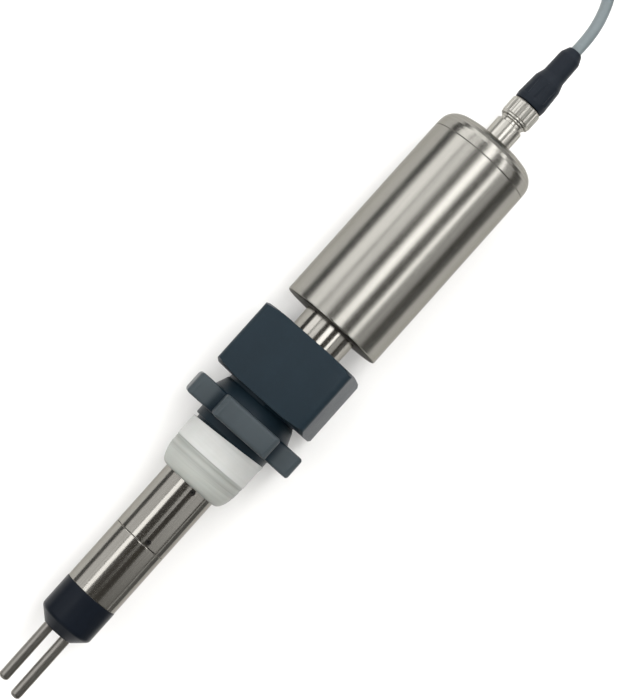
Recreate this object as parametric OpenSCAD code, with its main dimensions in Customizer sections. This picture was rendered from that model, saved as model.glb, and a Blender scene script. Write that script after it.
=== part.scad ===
// Two-electrode corrosion probe with its transmitter housing, clamped in a threaded process fitting.
// The probe lies along X. X = 0 is the shoulder of the pipe thread, and +X runs towards the lead.

/* [Sensor tube] */
// Outside diameter of the steel tube and of the front sleeve
tube_d = 25.4; // [25.2:0.05:25.5]
// Wall of the tube and of the front sleeve
tube_wall = 2; // [1.6:0.1:2.4]
// Length of the front sleeve
sleeve_len = 30.6; // [27:0.2:33]
// Bare tube between the front sleeve and the taped thread
tube_bare = 31; // [29:0.5:33]
// Diameter of a set screw in the tube wall
set_screw_d = 2.6; // [2:0.1:3]

/* [Electrodes] */
// Diameter of an electrode
rod_d = 4.76; // [4:0.02:5.5]
// Length of the shorter electrode in front of the nose
rod_len = 29.6; // [20:0.2:40]
// How much further the other electrode stands out
rod_stagger = 2.8; // [0:0.1:4]
// Distance between the electrodes' axes
rod_pitch = 8.9; // [8:0.1:10.5]
// Length of the moulded nose collar
collar_len = 21.2; // [18:0.2:24]
// Diameter of the moulded nose collar
collar_d = 25.7; // [25.5:0.05:25.9]

/* [Process fitting] */
// Length of the pipe thread, tape included
thread_len = 24.6; // [23.5:0.1:26]
// Diameter over the crests of the pipe thread
thread_d = 33.3; // [32.6:0.1:33.6]
// Diameter over the wound tape
tape_d = 36.2; // [35.4:0.1:36.4]
// Width of the four grip lugs
lug_w = 29.2; // [24:0.2:30]
// Reach of a lug from the axis, which is also the height of the axis over a bench
lug_reach = 28; // [27:0.2:29]
// Thickness of the lugs along the axis
lug_len = 10.6; // [9:0.2:12]
// Side of the square clamp nut
nut_side = 47.5; // [45:0.1:49]
// Length of the clamp nut
nut_len = 32.5; // [31.5:0.1:33.4]
// How far the nut stands turned from the lugs, in degrees, with its corners clear of the bench
nut_roll = -12; // [-12:1:12]

/* [Housing] */
// Diameter of the transmitter housing
housing_d = 48; // [46:0.1:50]
// Length of the housing from its front face to the cap's end
housing_len = 105; // [98:0.2:112]
// Length of the end cap outside the housing
cap_len = 11.2; // [9.6:0.1:12]
// Radius of the end cap's shoulder
cap_radius = 7.5; // [5:0.1:7.8]
// Wall of the housing
housing_wall = 1.8; // [1.4:0.1:2.2]

/* [Connector] */
// Diameter of the receptacle's neck behind the cap
neck_d = 12.8; // [12.4:0.1:13.4]
// Diameter over the ribs of a coupling ring
ring_d = 14.4; // [14:0.1:15]
// Length of a coupling ring
ring_len = 8.8; // [8.6:0.1:9.2]
// Number of grip ribs on a coupling ring
ring_ribs = 18; // [12:1:24]
// Length of a plug's moulded body
boot_len = 31; // [29:0.5:33]
// Diameter of the lead
cable_d = 5.2; // [5:0.05:5.3]

/* [Hidden] */
$fn = 96;

run_fit = 0.05;
slip_gap = 0.3;
cut = 1;
steel = "#a9a59b";
polished = "#bdb9ae";
navy = "#2c3841";
nose_black = "#141a22";
boot_black = "#1e242e";
tape_white = "#cdd0cb";
gold = "#c9a24b";
seal_black = "#202020";
jacket = "#8b979b";

tube_r = tube_d / 2;
bore_r = tube_r - tube_wall;
seam_x = -thread_len - tube_bare;
sleeve_x = seam_x - sleeve_len;
nose_x = sleeve_x - collar_len;
stud_r = 1.5;
stud_depth = 9;
spigot_len = 13;
stud_end = sleeve_x + spigot_len + 4.5;
joiner_len = 24;
joiner_wall = 2.4;
screw_angle = 11;
screw_back = 2;
bulkhead_len = 12;
bulkhead_x = -thread_len - 1.6 - bulkhead_len / 2;
lead_r = 0.9;

tape_plain = 11.2;
tape_swell = 15;
tape_over = thread_len - 0.6;
tape_pitch = 2.2;
tape_ridge = 0.09;
tape_step = 0.25;
tape_fall = 3.95;

rim_r = tape_d / 2 + 0.1;
rim_len = 3.8;
crown_r = 20.2;
crown_x = rim_len + lug_len;
gland_x = 20.2;
spigot_r = 17.6;
spigot_end = 43.2;
pocket_x = 33.2;
pocket_r = 15.2;
seal_w = 2.5;
collet_len = 6.8;
collet_x = pocket_x + 2 * seal_w + 0.3;
washer_x = collet_x + collet_len + run_fit;
washer_len = 2;
nut_x = 21.7;
nut_floor = washer_x + washer_len + run_fit;
nut_corner = 3.2;
nut_chamfer = 1.4;
nut_end_r = nut_side / 2 + 3;

nut_gap = 10.2;
shell_x = nut_x + nut_len + nut_gap;
shell_r = housing_d / 2;
shell_end = shell_x + housing_len - cap_len;
shell_floor = 5;
cap_end = shell_x + housing_len;
cap_spigot = 12;
cap_inside = cap_len - 6;
seat_r = shell_r - housing_wall;
lock_nut_len = 6;
board_x = shell_x + 17;
board_w = 36;
board_t = 1.6;
board_z = -6.6;
board_top = board_z + board_t + 0.02;
board_hole_r = 1.3;
shelf_len = 16;
sheet_t = 1.5;
flange_x = shell_end - cap_spigot - sheet_t;

neck_r = neck_d / 2;
neck_len = 10.6;
neck_end = cap_end + neck_len;
m12_r = 5.9;
m12_len = 6.5;
mouth_len = neck_len + 1.2 + m12_len;
panel_r = 5.6;
ring_x = neck_end + 1.2;
ring_back = 1.6;
insert_r = 4.1;
boot_x = ring_x + ring_len;
pins_x = cap_end - 11;
WIRE_Y = [1.5, -1.5, -4.5, 4.5];
cable_r = cable_d / 2;

floor_z = -lug_reach;
tie_t = 1;
coil_at = [303, 0];
coil_pitch = 5.3;
coil_mid_r = 31;
coil_low = floor_z + tie_t;
coil_high = coil_low + 3 * coil_pitch;
coil_in = coil_mid_r - 1.5 * coil_pitch;
coil_out = coil_mid_r + 1.5 * coil_pitch;
tail_turn = 75;
tail_axis_z = coil_high + ring_d / 2 + 0.1;

// Points of the lead from the plug to the coil. It falls to the bench and joins the outer turn.
LEAD_ROUTE = [
    [205, 0, 0], [213, 0, 0], [221, 0, 0], [226, 0, 0], [231, 0.2, -0.3], [236, 0.8, -1.2],
    [241, 1.8, -2.8], [246, 3.2, -5], [251, 5.2, -7.8], [256, 8, -11], [261, 11.8, -14.2], [266, 16.4, -17.2],
    [271, 21.2, -19.8], [276, 25.6, -21.8], [281, 29.4, -23.2], [286, 32.4, -24], [292, 34.8, -24.4],
    [298, 36, -24.4], [303, 36.3, -24.4]
];

// Points of the last stretch, which climbs from the top turn to the plug that lies on the coil.
TAIL_ROUTE = [
    [287.6, 20.6, -13.6], [292, 23.3, -13.4], [297, 25.1, -12.8], [302, 25.9, -11.7], [307, 25.6, -10.3],
    [311.8, 24.3, -8.8], [316.3, 22.1, -7.2], [320.3, 18.9, -5.8], [323.9, 14.9, -4.7], [326.5, 10.3, -4],
    [328, 5.5, -3.8], [329.3, 0.7, -3.8], [330.5, -3.8, -3.8]
];
TAIL_PLUG = [328, 5.5];

function unit(v) = v / norm(v);

function arc_between(a, b, k) =
    let (t = acos(max(-1, min(1, a * b))))
    t < 0.01 ? a : (sin((1 - k) * t) * a + sin(k * t) * b) / sin(t);

// The arc that rounds corner p, between its neighbours a and b, to radius r
function rounded_corner(p, a, b, r, steps) =
    let (
        u = unit(a - p),
        v = unit(b - p),
        half = acos(u * v) / 2,
        run = r / tan(half),
        centre = p + unit(u + v) * r / sin(half),
        first = unit(p + u * run - centre),
        last = unit(p + v * run - centre)
    )
    [for (i = [0 : steps]) centre + r * arc_between(first, last, i / steps)];

// An outline from [x, y, corner radius] points
function outline(points, steps = 6) = [
    for (i = [0 : len(points) - 1])
        let (
            n = len(points),
            p = [points[i][0], points[i][1]],
            a = [points[(i + n - 1) % n][0], points[(i + n - 1) % n][1]],
            b = [points[(i + 1) % n][0], points[(i + 1) % n][1]]
        )
        each points[i][2] == 0 ? [p] : rounded_corner(p, a, b, points[i][2], steps)
];

function rectangle(w, h, r) = [
    for (c = [[-1, -1], [1, -1], [1, 1], [-1, 1]])
        [c[0] * w / 2, c[1] * h / 2, r]
];

// Turns an upright shape so that its Z lies along X, starting at x
module along_x(x) {
    translate([x, 0, 0])
        rotate([0, 90, 0])
            children();
}

// Revolves an outline of [radius, length, corner radius] points about X
module turned(x, points, steps = 6) {
    along_x(x)
        rotate_extrude()
            polygon(outline(points, steps));
}

module ring(x, length, outer, inner) {
    along_x(x)
        difference() {
            cylinder(r = outer, h = length);
            translate([0, 0, -cut])
                cylinder(r = inner, h = length + 2 * cut);
        }
}

// An O-ring of round section between two radii
module o_ring(x, inner, outer) {
    section = (outer - inner) / 2;
    along_x(x + section)
        rotate_extrude()
            translate([inner + section, 0])
                circle(r = section, $fn = 24);
}

// A round bar between two points
module bar(p, q, r) {
    d = q - p;
    translate(p)
        rotate([0, acos(d[2] / norm(d)), atan2(d[1], d[0])])
            cylinder(r = r, h = norm(d), $fn = 16);
}

// A tube swept along a route
module swept_tube(route, r, sides) {
    n = len(route);
    rings = [
        for (i = [0 : n - 1])
            let (
                ahead = unit(route[min(i + 1, n - 1)] - route[max(i - 1, 0)]),
                side = unit(cross(ahead, [0, 0, 1])),
                up = cross(side, ahead)
            )
            [
                for (k = [0 : sides - 1])
                    let (turn = 360 * k / sides)
                    route[i] + r * (cos(turn) * side + sin(turn) * up)
            ]
    ];
    walls = [
        for (i = [0 : n - 2], k = [0 : sides - 1])
            let (j = (k + 1) % sides)
            [i * sides + k, i * sides + j, (i + 1) * sides + j, (i + 1) * sides + k]
    ];
    near_end = [for (k = [sides - 1 : -1 : 0]) k];
    far_end = [for (k = [0 : sides - 1]) (n - 1) * sides + k];
    polyhedron([for (row = rings) each row], concat([near_end], walls, [far_end]), convexity = 6);
}

// Puts two copies either side of the axis, where the electrodes are
module both_rods() {
    for (side = [-1, 1])
        translate([0, side * rod_pitch / 2, 0])
            children();
}

// Puts a radial shape, modelled along Z, at the angle of the set screws and opposite them
module at_screws(x) {
    for (turn = [0, 180])
        translate([x, 0, 0])
            rotate([screw_angle + turn, 0, 0])
                children();
}

module screw_holes(x) {
    at_screws(x)
        cylinder(d = set_screw_d + 2 * run_fit, h = tube_r + cut, $fn = 24);
}

// A threaded rod electrode with a round end and a blind hole for its stud
module electrode(length) {
    difference() {
        turned(nose_x - length, [
            [0, 0, 0], [rod_d / 2, 0, 1.6], [rod_d / 2, length, 0.2], [0, length, 0]
        ]);
        along_x(nose_x - stud_depth)
            cylinder(r = stud_r + run_fit, h = stud_depth + cut, $fn = 32);
    }
}

module electrode_a() {
    color(steel)
        translate([0, rod_pitch / 2, 0])
            electrode(rod_len);
}

module electrode_b() {
    color(steel)
        translate([0, -rod_pitch / 2, 0])
            electrode(rod_len + rod_stagger);
}

module electrode_studs() {
    color(gold)
        both_rods()
            along_x(nose_x - stud_depth + 0.5)
                cylinder(r = stud_r, h = stud_end - nose_x + stud_depth - 0.5, $fn = 32);
}

module electrode_seals() {
    color(seal_black)
        both_rods()
            ring(nose_x + run_fit, 1, 2.9, stud_r + run_fit);
}

module nose_collar() {
    color(nose_black)
        difference() {
            turned(nose_x, [
                [0, 0, 0], [7.2, 0, 1.5], [collar_d / 2, 5.2, 2.5], [collar_d / 2, collar_len, 0.4],
                [bore_r - run_fit, collar_len, 0], [bore_r - run_fit, collar_len + 5, 0],
                [bore_r - 1.6, collar_len + 5, 0], [bore_r - 1.6, collar_len + 7.4, 0],
                [bore_r - run_fit, collar_len + 7.4, 0], [bore_r - run_fit, collar_len + spigot_len, 0.6],
                [0, collar_len + spigot_len, 0]
            ]);
            both_rods()
                along_x(nose_x - cut) {
                    cylinder(r = stud_r + run_fit, h = collar_len + spigot_len + 2 * cut, $fn = 32);
                    cylinder(r = 3, h = cut + 1.1, $fn = 32);
                }
        }
}

module collar_seal() {
    color(seal_black)
        ring(sleeve_x + 5.2, 2, bore_r - run_fit, bore_r - 1.55);
}

module front_sleeve() {
    color(polished)
        turned(sleeve_x, [
            [bore_r, 0, 0], [tube_r, 0, 0.25],
            [tube_r, sleeve_len - run_fit, 0.35], [bore_r, sleeve_len - run_fit, 0]
        ]);
}

module sleeve_joiner() {
    color(steel)
        difference() {
            ring(seam_x - joiner_len / 2, joiner_len, bore_r - run_fit, bore_r - joiner_wall);
            screw_holes(seam_x + screw_back);
        }
}

module rear_tube() {
    color(polished)
        difference() {
            turned(seam_x, [
                [bore_r, 0, 0], [tube_r, 0, 0.35],
                [tube_r, shell_x + shell_floor + lock_nut_len + 2 - seam_x, 0.4],
                [bore_r, shell_x + shell_floor + lock_nut_len + 2 - seam_x, 0]
            ]);
            screw_holes(seam_x + screw_back);
            screw_holes(bulkhead_x + bulkhead_len / 2);
        }
}

// A headless screw with a hexagon socket, along Z from radius r_low to the tube's surface
module set_screw(r_low) {
    difference() {
        translate([0, 0, r_low])
            cylinder(d = set_screw_d, h = tube_r - 0.35 - r_low, $fn = 24);
        translate([0, 0, tube_r - 1.6])
            cylinder(d = set_screw_d * 0.58, h = 3, $fn = 6);
    }
}

module set_screws() {
    color("#5a5852") {
        at_screws(seam_x + screw_back)
            set_screw(bore_r - joiner_wall + 0.2);
        at_screws(bulkhead_x + bulkhead_len / 2)
            set_screw(bore_r - 3);
    }
}

// The plug that closes the tube behind the wet end and carries the leads through
module bulkhead() {
    color("#3a3f44")
        difference() {
            turned(bulkhead_x, [
                [0, 0, 0], [bore_r - run_fit, 0, 0.6],
                [bore_r - run_fit, bulkhead_len, 0.6], [0, bulkhead_len, 0]
            ]);
            both_rods()
                along_x(bulkhead_x - cut)
                    cylinder(r = lead_r + run_fit, h = bulkhead_len + 2 * cut, $fn = 24);
            at_screws(bulkhead_x + bulkhead_len / 2)
                translate([0, 0, bore_r - 3.1])
                    cylinder(d = set_screw_d + 2 * run_fit, h = 5, $fn = 24);
        }
}

module electrode_leads() {
    color("firebrick")
        both_rods()
            along_x(stud_end + run_fit)
                cylinder(r = lead_r, h = board_x + 4 - stud_end, $fn = 16);
}

module thread_core() {
    turned(-thread_len + 1.6, [
        [tube_r + run_fit, 0, 0], [14.2, 0, 0.3], [thread_d / 2 - 0.2, 5.6, 0.4],
        [thread_d / 2, thread_len - 1.6, 0], [thread_d / 2, thread_len + 4, 0],
        [tube_r + run_fit, thread_len + 4, 0]
    ]);
}

// One pair of opposite lugs: a flat bar whose edges are rounded along all three directions
module lug_pair(turn) {
    rotate([turn, 0, 0])
        intersection() {
            along_x(rim_len)
                linear_extrude(lug_len)
                    polygon(outline(rectangle(2 * lug_reach, lug_w, 3.4)));
            translate([crown_x - lug_len / 2, 0, -lug_reach - cut])
                linear_extrude(2 * lug_reach + 2 * cut)
                    polygon(outline(rectangle(lug_len, lug_w, 1.6)));
            translate([crown_x - lug_len / 2, lug_w / 2 + cut, 0])
                rotate([90, 0, 0])
                    linear_extrude(lug_w + 2 * cut)
                        polygon(outline(rectangle(lug_len, 2 * lug_reach, 1.8)));
        }
}

module thread_fitting() {
    color(navy)
        difference() {
            union() {
                thread_core();
                turned(0, [
                    [tube_r, 0, 0], [rim_r, 0, 0.5], [rim_r, rim_len, 0.8],
                    [crown_r - 0.6, rim_len + 0.9, 0.6], [crown_r, crown_x, 1.2],
                    [spigot_r + 0.5, gland_x - 0.6, 0.8], [spigot_r, gland_x, 0.2],
                    [spigot_r, spigot_end, 0.6], [tube_r, spigot_end, 0]
                ]);
                lug_pair(0);
                lug_pair(90);
            }
            along_x(-thread_len)
                cylinder(r = tube_r + run_fit, h = spigot_end + thread_len + cut);
            along_x(pocket_x)
                cylinder(r = pocket_r, h = spigot_end - pocket_x + cut);
        }
}

// Radius over the ridged turns of tape, where thread crests show through, at a distance from the shoulder
function tape_r(x) =
    let (
        crest = tape_ridge * cos(360 * x / tape_pitch),
        u = max(0, (x - tape_swell) / (tape_over - tape_swell))
    )
    tape_d / 2 - tape_step + crest * (1 - u) - tape_fall * (1 - sqrt(1 - u * u));

module thread_tape() {
    plain = [[tape_d / 2, 0], [tape_d / 2, -tape_plain]];
    over = [for (x = [tape_plain + 0.3 : tape_pitch / 5 : tape_over]) [tape_r(x), -x]];
    under = [
        [tube_r + 0.9, -thread_len + 0.2], [tube_r + slip_gap, -thread_len],
        [tube_r + slip_gap, -thread_len + 1.5], [14.3, -thread_len + 1.5],
        [thread_d / 2 - 0.1, -thread_len + 7.3], [thread_d / 2 + run_fit, 0]
    ];
    color(tape_white)
        along_x(0)
            rotate_extrude()
                polygon(concat(plain, over, under));
}

module tube_seals() {
    color(seal_black)
        for (i = [0, 1])
            o_ring(pocket_x + 0.1 + i * seal_w, tube_r + run_fit, pocket_r - run_fit);
}

// A split ring that the nut squeezes on to the tube
module grip_collet() {
    color("#d8d4c4")
        difference() {
            turned(collet_x, [
                [tube_r + run_fit, 0, 0], [tube_r + 0.7, 0, 0], [pocket_r - run_fit, 2.6, 0.3],
                [pocket_r - run_fit, collet_len, 0.3], [tube_r + run_fit, collet_len, 0]
            ]);
            for (i = [0 : 5])
                along_x(collet_x - cut)
                    rotate(30 + 60 * i)
                        translate([tube_r - 1, -0.6, 0])
                            cube([5, 1.2, collet_len - 1.2 + cut]);
        }
}

module thrust_washer() {
    color(steel)
        ring(washer_x, washer_len, spigot_r - slip_gap, tube_r + slip_gap);
}

module clamp_nut() {
    half_diagonal = (nut_side / 2 - nut_corner) * sqrt(2) + nut_corner;
    color(navy)
        difference() {
            intersection() {
                rotate([nut_roll, 0, 0])
                    along_x(nut_x)
                        linear_extrude(nut_len)
                            polygon(outline(rectangle(nut_side, nut_side, nut_corner)));
                turned(nut_x, [
                    [0, 0, 0], [nut_end_r, 0, 0.5], [half_diagonal + 0.6, nut_chamfer, 2],
                    [half_diagonal + 0.6, nut_len - nut_chamfer, 2], [nut_end_r, nut_len, 0.5],
                    [0, nut_len, 0]
                ]);
            }
            along_x(nut_x - cut)
                cylinder(r = spigot_r + run_fit, h = nut_floor - nut_x + cut);
            along_x(nut_x - cut)
                cylinder(r1 = spigot_r + 2, r2 = spigot_r, h = cut + 1);
            along_x(nut_floor)
                cylinder(r = tube_r + slip_gap, h = nut_len);
            along_x(nut_x + nut_len - 0.8)
                cylinder(r1 = tube_r + slip_gap, r2 = tube_r + slip_gap + 1.2, h = 0.9);
        }
}

module housing_shell() {
    color(steel)
        turned(shell_x, [
            [tube_r + run_fit, 0, 0.5], [shell_r, 0, 0.9], [shell_r, shell_end - shell_x, 0.3],
            [seat_r, shell_end - shell_x, 0], [seat_r, shell_floor, 1.5], [tube_r + run_fit, shell_floor, 0]
        ]);
}

module tube_lock_nut() {
    color(polished)
        along_x(shell_x + shell_floor)
            difference() {
                cylinder(r = 18.5, h = lock_nut_len, $fn = 6);
                translate([0, 0, -cut])
                    cylinder(r = tube_r + run_fit, h = lock_nut_len + 2 * cut);
            }
}

// Puts a shape along X at each of the two screws that hold the bracket to the cap
module both_bracket_screws(x) {
    for (side = [-1, 1])
        translate([0, side * (seat_r - 2.2), 0])
            along_x(x)
                children();
}

module end_cap() {
    color(steel)
        difference() {
            turned(shell_end, [
                [panel_r + run_fit, cap_len, 0], [neck_r + 0.8, cap_len, 0.3],
                [shell_r - 0.3, cap_len - 2, cap_radius], [shell_r, run_fit, 0.3],
                [seat_r - run_fit, run_fit, 0], [seat_r - run_fit, -4, 0],
                [seat_r - 1.8, -4, 0], [seat_r - 1.8, -6.4, 0], [seat_r - run_fit, -6.4, 0],
                [seat_r - run_fit, -cap_spigot, 0.6], [seat_r - 4, -cap_spigot, 0],
                [seat_r - 4, cap_inside, 2], [panel_r + run_fit, cap_inside, 0]
            ]);
            both_bracket_screws(shell_end - cap_spigot - cut)
                cylinder(r = 0.85, h = 7 + cut, $fn = 24);
        }
}

module cap_seal() {
    color(seal_black)
        ring(shell_end - 6.2, 2, seat_r - run_fit, seat_r - 1.75);
}

// Puts an upright shape at each of the two screws that hold the board to the bracket's shelf
module both_board_screws(z) {
    for (side = [-1, 1])
        translate([flange_x - shelf_len / 2, side * 11, z])
            children();
}

// Angle plate: its flange is screwed to the cap's spigot, and the board lies on its shelf
module board_bracket() {
    color("#b8bcc0")
        difference() {
            union() {
                intersection() {
                    translate([flange_x, -seat_r, board_z - sheet_t])
                        cube([sheet_t - run_fit, 2 * seat_r, 13]);
                    along_x(flange_x)
                        cylinder(r = seat_r - 0.6, h = sheet_t);
                }
                translate([flange_x - shelf_len, -board_w / 2 + 2, board_z - sheet_t])
                    cube([shelf_len + 0.5, board_w - 4, sheet_t - run_fit]);
            }
            translate([flange_x - cut, -9, board_z - run_fit])
                cube([sheet_t + 2 * cut, 18, 14]);
            both_bracket_screws(flange_x - cut)
                cylinder(r = 0.95, h = 4, $fn = 24);
            both_board_screws(board_z - 4)
                cylinder(r = board_hole_r, h = 8, $fn = 24);
        }
}

// A pan-head screw along +Z, with its head below the origin
module pan_screw(r, length, head_r, head_h) {
    difference() {
        union() {
            translate([0, 0, -head_h])
                cylinder(r = head_r, h = head_h, $fn = 32);
            cylinder(r = r, h = length, $fn = 24);
        }
        translate([-head_r, -0.25, -head_h - cut])
            cube([2 * head_r, 0.5, cut + head_h / 2]);
    }
}

module bracket_screws() {
    color(polished)
        both_bracket_screws(flange_x - run_fit)
            pan_screw(0.8, 6.5, 1.5, 1.1);
}

module circuit_board() {
    color("darkgreen")
        difference() {
            translate([board_x, -board_w / 2, board_z])
                cube([flange_x - board_x - 0.6, board_w, board_t]);
            both_board_screws(board_z - cut)
                cylinder(r = board_hole_r, h = board_t + 2 * cut, $fn = 24);
        }
}

module board_chips() {
    color("#26282b") {
        translate([board_x + 20, -6, board_top])
            cube([12, 12, 1.6]);
        translate([board_x + 38, -13, board_top])
            cube([9, 7, 1.4]);
        translate([board_x + 38, 4, board_top])
            cube([8, 10, 3.2]);
        for (i = [0 : 2])
            translate([board_x + 22 + 7 * i, 13, board_top])
                cylinder(r = 2.4, h = 5, $fn = 32);
    }
}

module board_screws() {
    color(polished)
        both_board_screws(board_top)
            rotate([180, 0, 0])
                pan_screw(1.25, board_t + sheet_t + 1.6, 2.4, 1.5);
}

module terminal_block() {
    color("#2f6b3c")
        difference() {
            translate([board_x + 1, -9, board_top])
                cube([9, 18, 9]);
            both_rods()
                along_x(board_x)
                    cylinder(r = 1.2, h = 6, $fn = 24);
            both_rods()
                translate([board_x + 6, 0, 0.5])
                    cylinder(r = 1.6, h = 5, $fn = 24);
        }
}

// The places of the four contacts around the connector's axis
function contact(i) = [2.4 * cos(45 + 90 * i), 2.4 * sin(45 + 90 * i)];

module signal_wires() {
    color("goldenrod")
        for (i = [0 : 3])
            bar(
                [flange_x - 4, WIRE_Y[i], board_top + 0.6],
                [pins_x - slip_gap, contact(i)[0], contact(i)[1]],
                0.5
            );
}

// The steel socket that is screwed through the cap. Its threaded mouth is under the coupling ring.
module receptacle_shell() {
    inner = insert_r + 0.15;
    color(polished)
        turned(cap_end, [
            [inner, -cap_len - 2.6, 0], [panel_r, -cap_len - 2.6, 0.2], [panel_r, 0.02, 0],
            [neck_r, 0.02, 0.4], [neck_r, neck_len - 1.4, 0.5],
            [m12_r - 0.5, neck_len - 1.2, 0], [m12_r - 0.5, neck_len, 0],
            [m12_r, neck_len + 0.6, 0], [m12_r, mouth_len, 0.3], [inner, mouth_len, 0]
        ]);
}

module receptacle_insert() {
    color("#101214")
        difference() {
            along_x(cap_end - 6)
                cylinder(r = insert_r + 0.1, h = neck_len + 4);
            for (i = [0 : 3])
                along_x(cap_end - 7)
                    translate([-contact(i)[1], contact(i)[0], 0])
                        cylinder(r = 0.5 + run_fit, h = neck_len + 8, $fn = 24);
        }
}

module contact_pins() {
    color(gold)
        for (i = [0 : 3])
            along_x(pins_x)
                translate([-contact(i)[1], contact(i)[0], 0])
                    cylinder(r = 0.5, h = neck_len + 15, $fn = 24);
}

module receptacle_seal() {
    color(seal_black)
        ring(shell_end + cap_inside - 1, 1, 8.6, panel_r + run_fit);
}

module receptacle_nut() {
    color(polished)
        along_x(shell_end + cap_inside - 3.6)
            difference() {
                cylinder(r = 8.6, h = 2.55, $fn = 6);
                translate([0, 0, -cut])
                    cylinder(r = panel_r + run_fit, h = 5);
            }
}

// A ribbed coupling ring, modelled along +Z from its mouth. Its back wall runs round the plug's waist.
module ribbed_ring(bore, depth) {
    difference() {
        rotate_extrude()
            polygon(outline([
                [5, 0, 0], [ring_d / 2 - 0.3, 0, 0.4], [ring_d / 2 - 0.3, 1, 0.2], [ring_d / 2, 1.4, 0.2],
                [ring_d / 2, ring_len - 0.9, 0.4], [ring_d / 2 - 0.7, ring_len, 0.3], [5, ring_len, 0]
            ], 3));
        translate([0, 0, -cut])
            cylinder(r = bore, h = depth + cut);
        translate([0, 0, -cut])
            cylinder(r = 5.1, h = ring_len + 2 * cut);
        for (i = [0 : ring_ribs - 1])
            rotate(360 * i / ring_ribs)
                translate([ring_d / 2 + 0.45, 0, 1.4])
                    cylinder(r = 0.85, h = ring_len, $fn = 16);
    }
}

module coupling_ring() {
    color(steel)
        along_x(ring_x)
            ribbed_ring(m12_r + run_fit, ring_len - ring_back);
}

// The contact carrier of a plug, modelled along +Z from its face
module carrier(face_r, reach) {
    difference() {
        rotate_extrude()
            polygon(outline([
                [0, 0, 0], [face_r, 0, 0.4], [face_r, reach, 0], [4.9, reach, 0],
                [4.9, reach + 2.4, 0], [0, reach + 2.4, 0]
            ], 4));
        for (i = [0 : 3])
            translate([-contact(i)[1], contact(i)[0], -cut])
                cylinder(r = 0.5 + run_fit, h = reach - 1 + cut, $fn = 24);
    }
}

module plug_insert() {
    color("#15181c")
        along_x(neck_end - 0.9)
            carrier(insert_r, boot_x - neck_end - 1.2);
}

// The moulded body of a plug along +Z: a grip, a step down and a round end where the lead comes out
module plug_mould() {
    difference() {
        rotate_extrude()
            polygon(outline([
                [0, 0.05, 0], [ring_d / 2 - 0.4, 0.05, 0.5], [ring_d / 2 - 0.1, 2.2, 2],
                [ring_d / 2 - 0.7, 12.6, 3], [5.2, 16.6, 3], [5, boot_len - 4, 3],
                [3.2, boot_len, 1.2], [0, boot_len, 0]
            ], 6));
        translate([0, 0, boot_len - 18])
            cylinder(r = cable_r + run_fit, h = 20, $fn = 48);
        for (i = [0 : 7])
            rotate(45 * i)
                translate([ring_d / 2 + 1.3, 0, 3.4])
                    cylinder(r = 2, h = 8.4, $fn = 24);
    }
}

module plug_body() {
    color(boot_black)
        along_x(boot_x + slip_gap - run_fit)
            plug_mould();
}

module cable_lead() {
    color(jacket)
        swept_tube(LEAD_ROUTE, cable_r, 12);
}

module cable_coil() {
    turn_r = 2.5;
    color(jacket)
        translate([coil_at[0], coil_at[1], 0])
            rotate_extrude()
                polygon(outline([
                    [coil_in, coil_low, turn_r], [coil_out, coil_low, turn_r],
                    [coil_out, coil_high, turn_r], [coil_in, coil_high, turn_r]
                ]));
}

// A band around the coil's turns, on the side away from the lead
module coil_tie() {
    deep = coil_high - coil_low;
    wide = coil_out - coil_in;
    color("#23262a")
        translate([coil_at[0] + 5, coil_at[1] - coil_mid_r, (coil_low + coil_high) / 2])
            rotate([0, -90, 0])
                linear_extrude(10)
                    difference() {
                        polygon(outline(rectangle(deep + 2 * tie_t, wide + 2 * tie_t + 1.2, 3)));
                        polygon(outline(rectangle(deep + 0.1, wide + 1.2, 2.4)));
                    }
}

module cable_tail() {
    color(jacket)
        swept_tube(TAIL_ROUTE, cable_r, 12);
}

// Places a shape along +Z on the axis of the plug at the lead's far end
module at_tail() {
    translate([TAIL_PLUG[0], TAIL_PLUG[1], tail_axis_z])
        rotate([0, 0, -tail_turn])
            rotate([0, 90, 0])
                children();
}

module tail_plug_body() {
    color(boot_black)
        at_tail()
            translate([0, 0, boot_len])
                mirror([0, 0, 1])
                    plug_mould();
}

module tail_plug_insert() {
    color("#15181c")
        at_tail()
            difference() {
                translate([0, 0, boot_len])
                    rotate_extrude()
                        polygon(outline([
                            [0, 0, 0], [4.9, 0, 0], [4.9, 2.6, 0], [4.6, 2.6, 0], [4.6, 9.4, 0.3],
                            [4.1, 9.4, 0], [4.1, 4, 0], [0, 4, 0]
                        ], 4));
                for (i = [0 : 3])
                    translate([contact(i)[0], contact(i)[1], boot_len - 1])
                        cylinder(r = 0.5 + run_fit, h = 6, $fn = 24);
            }
}

module tail_pins() {
    color(gold)
        at_tail()
            for (i = [0 : 3])
                translate([contact(i)[0], contact(i)[1], boot_len + 0.5])
                    cylinder(r = 0.5, h = 7.6, $fn = 24);
}

module ring_upright(outer, length, inner) {
    difference() {
        cylinder(r = outer, h = length);
        translate([0, 0, -cut])
            cylinder(r = inner, h = length + 2 * cut);
    }
}

// The coupling screw of the far plug: a ribbed grip with an outside thread in front of it
module tail_ring() {
    color(steel)
        at_tail()
            translate([0, 0, boot_len + 0.3])
                difference() {
                    union() {
                        translate([0, 0, ring_len])
                            mirror([0, 0, 1])
                                ribbed_ring(5.1, ring_len);
                        ring_upright(6, ring_len + 5.6, 5.1);
                    }
                    translate([0, 0, -cut])
                        cylinder(r = 5.05, h = ring_len + 10);
                }
}

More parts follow.
